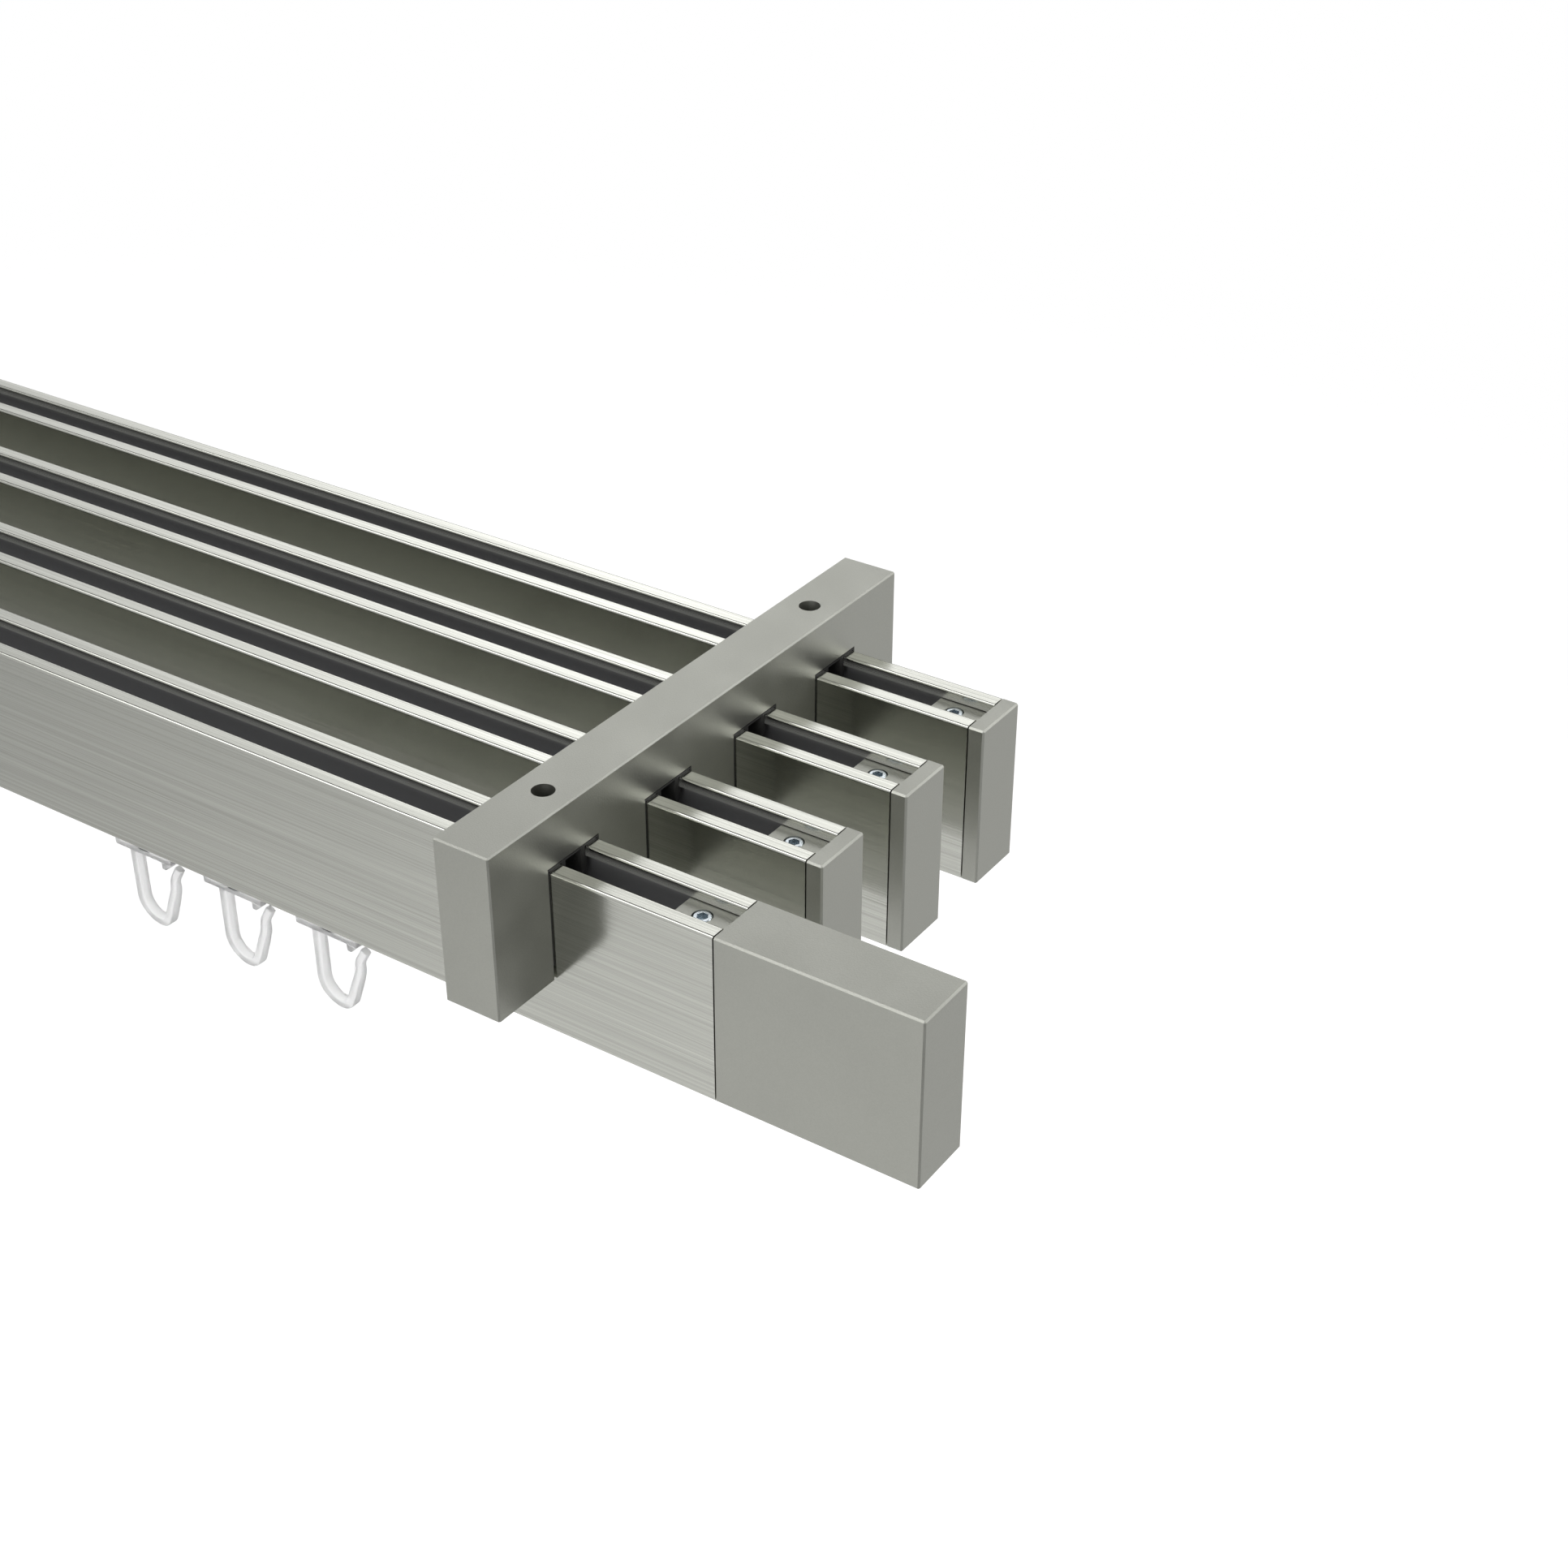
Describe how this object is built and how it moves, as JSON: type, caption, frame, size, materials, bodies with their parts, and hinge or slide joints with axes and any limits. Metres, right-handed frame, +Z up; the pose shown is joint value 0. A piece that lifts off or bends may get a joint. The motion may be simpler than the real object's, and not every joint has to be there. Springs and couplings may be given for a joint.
{
  "type": "curtain rod",
  "caption": "Ceiling-mounted curtain rod set: parallel square-edged hollow rods in slotted comb brackets, with end pieces and hook gliders that slide in tracks underneath.",
  "frame": {"origin": "centre of the four ceiling screw holes, in the plane of the brackets' top faces", "axes": "X along the rods, towards the right end seen in the picture; Y from the front rod, which has the long end blocks, to the back rod; Z up, out of the brackets' top faces"},
  "size_m": [1.0856, 0.1324, 0.0719],
  "materials": {
    "brushed_rod": "brushed along its length, stainless steel look",
    "satin_bracket": "satin nickel look, fine matt",
    "satin_end": "satin nickel look, fine matt",
    "dark_clip": "black moulded",
    "zinc_screw": "bright zinc",
    "glider_plastic": "translucent white moulded"
  },
  "bodies": {
    "rod_set": {"rod_1": "brushed_rod", "rod_2": "brushed_rod", "rod_3": "brushed_rod", "rod_4": "brushed_rod", "bracket_right": "satin_bracket", "bracket_left": "satin_bracket", "clip_right_1": "dark_clip", "end_block_right_1": "satin_end", "set_screw_right_1": "zinc_screw", "clip_right_2": "dark_clip", "end_cap_right_2": "satin_end", "set_screw_right_2": "zinc_screw", "clip_right_3": "dark_clip", "end_cap_right_3": "satin_end", "set_screw_right_3": "zinc_screw", "clip_right_4": "dark_clip", "end_cap_right_4": "satin_end", "set_screw_right_4": "zinc_screw", "clip_left_1": "dark_clip", "end_block_left_1": "satin_end", "set_screw_left_1": "zinc_screw", "clip_left_2": "dark_clip", "end_cap_left_2": "satin_end", "set_screw_left_2": "zinc_screw", "clip_left_3": "dark_clip", "end_cap_left_3": "satin_end", "set_screw_left_3": "zinc_screw", "clip_left_4": "dark_clip", "end_cap_left_4": "satin_end", "set_screw_left_4": "zinc_screw"},
    "glider_1a": {"glider_1a": "glider_plastic"},
    "glider_1b": {"glider_1b": "glider_plastic"},
    "glider_1c": {"glider_1c": "glider_plastic"},
    "glider_2a": {"glider_2a": "glider_plastic"},
    "glider_2b": {"glider_2b": "glider_plastic"},
    "glider_2c": {"glider_2c": "glider_plastic"},
    "glider_3a": {"glider_3a": "glider_plastic"},
    "glider_3b": {"glider_3b": "glider_plastic"},
    "glider_3c": {"glider_3c": "glider_plastic"},
    "glider_4a": {"glider_4a": "glider_plastic"},
    "glider_4b": {"glider_4b": "glider_plastic"},
    "glider_4c": {"glider_4c": "glider_plastic"}
  },
  "joints": [
    {"name": "glider_1c_slide", "type": "slide", "parent": "rod_set", "child": "glider_1c", "axis": [1, 0, 0], "range_m": [-0.281, 0.0975]},
    {"name": "glider_1b_slide", "type": "slide", "parent": "glider_1c", "child": "glider_1b", "axis": [1, 0, 0], "range_m": [-0.281, 0.0071]},
    {"name": "glider_1a_slide", "type": "slide", "parent": "glider_1b", "child": "glider_1a", "axis": [1, 0, 0], "range_m": [-0.281, 0.0071]},
    {"name": "glider_2c_slide", "type": "slide", "parent": "rod_set", "child": "glider_2c", "axis": [1, 0, 0], "range_m": [-0.281, 0.0975]},
    {"name": "glider_2b_slide", "type": "slide", "parent": "glider_2c", "child": "glider_2b", "axis": [1, 0, 0], "range_m": [-0.281, 0.0071]},
    {"name": "glider_2a_slide", "type": "slide", "parent": "glider_2b", "child": "glider_2a", "axis": [1, 0, 0], "range_m": [-0.281, 0.0071]},
    {"name": "glider_3c_slide", "type": "slide", "parent": "rod_set", "child": "glider_3c", "axis": [1, 0, 0], "range_m": [-0.281, 0.0975]},
    {"name": "glider_3b_slide", "type": "slide", "parent": "glider_3c", "child": "glider_3b", "axis": [1, 0, 0], "range_m": [-0.281, 0.0071]},
    {"name": "glider_3a_slide", "type": "slide", "parent": "glider_3b", "child": "glider_3a", "axis": [1, 0, 0], "range_m": [-0.281, 0.0071]},
    {"name": "glider_4c_slide", "type": "slide", "parent": "rod_set", "child": "glider_4c", "axis": [1, 0, 0], "range_m": [-0.281, 0.0975]},
    {"name": "glider_4b_slide", "type": "slide", "parent": "glider_4c", "child": "glider_4b", "axis": [1, 0, 0], "range_m": [-0.281, 0.0071]},
    {"name": "glider_4a_slide", "type": "slide", "parent": "glider_4b", "child": "glider_4a", "axis": [1, 0, 0], "range_m": [-0.281, 0.0071]}
  ]
}
